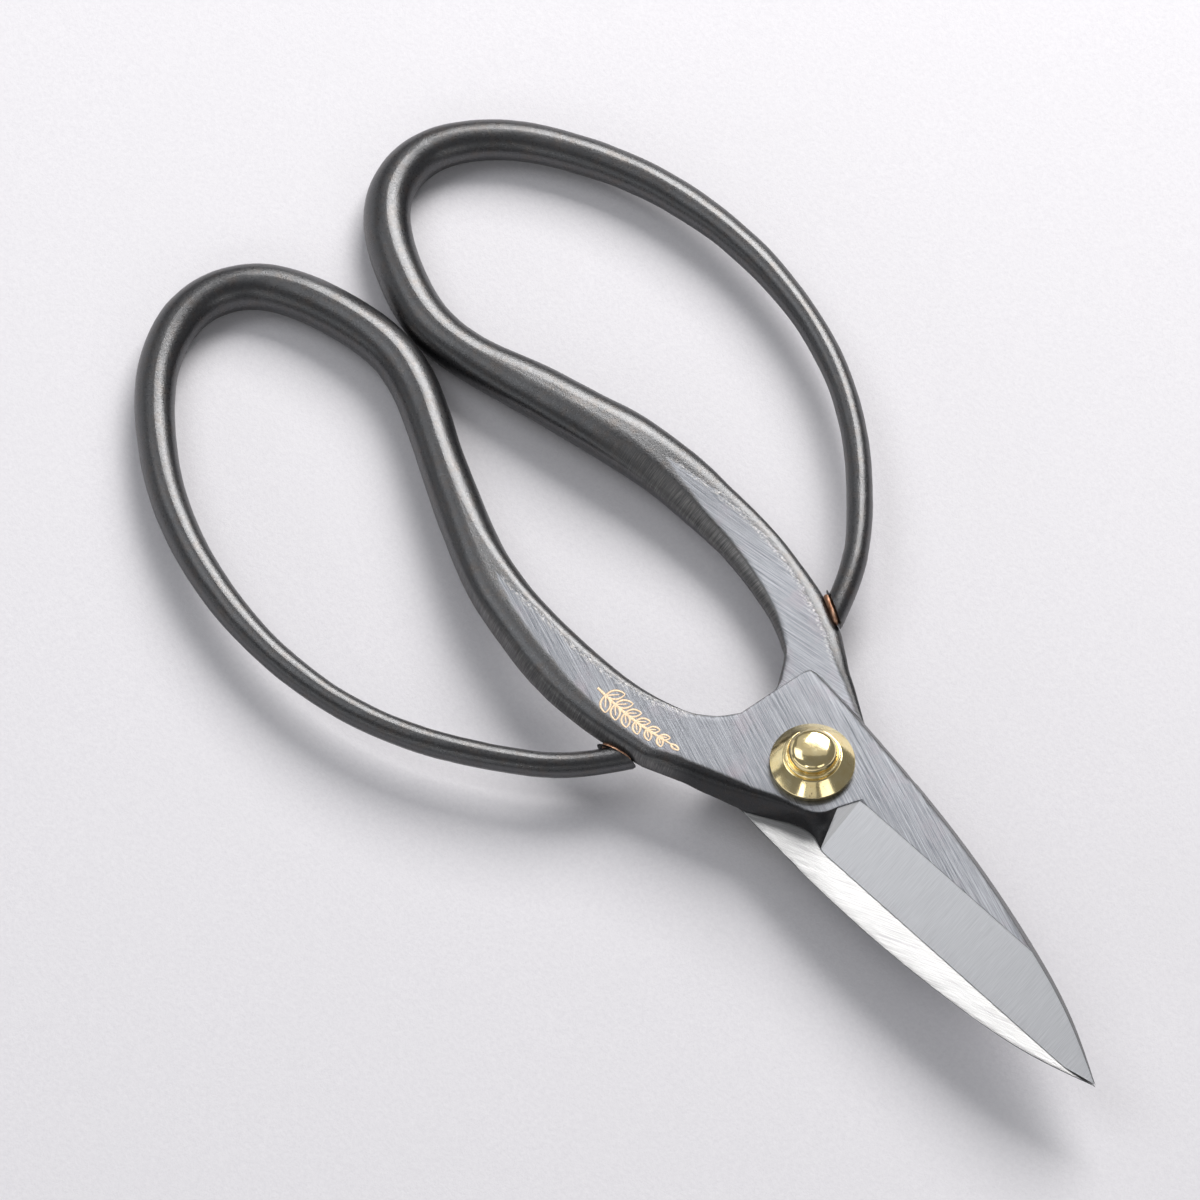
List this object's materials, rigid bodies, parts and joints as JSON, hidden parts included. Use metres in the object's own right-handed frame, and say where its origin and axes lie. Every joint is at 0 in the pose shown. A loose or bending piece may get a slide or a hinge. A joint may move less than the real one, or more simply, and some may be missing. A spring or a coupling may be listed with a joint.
{
  "type": "floral snips",
  "caption": "Hand-forged garden snips with large round finger loops, crossed blades and a conical brass pivot.",
  "frame": {"origin": "on the pivot axis, at the flat crown of the back rivet head", "axes": "+X from the pivot to the blade tip, +Y towards the lower half's bow, +Z out of the stamped face"},
  "size_m": [0.1806, 0.0998, 0.0165],
  "materials": {
    "steel": "forged black on the bows, ground bright on the flats and bevels",
    "brass": "polished",
    "braze": "satin"
  },
  "bodies": {
    "lower": {"lower_half": "steel", "pivot_rivet": "brass", "front_washer": "brass", "back_washer": "brass", "lower_braze": "braze"},
    "upper": {"upper_half": "steel", "upper_braze": "braze"}
  },
  "joints": [
    {"name": "pivot", "type": "hinge", "parent": "lower", "child": "upper", "pos_m": [0, 0, 0.00765], "axis": [0, 0, 1], "range_deg": [0, 50]}
  ]
}
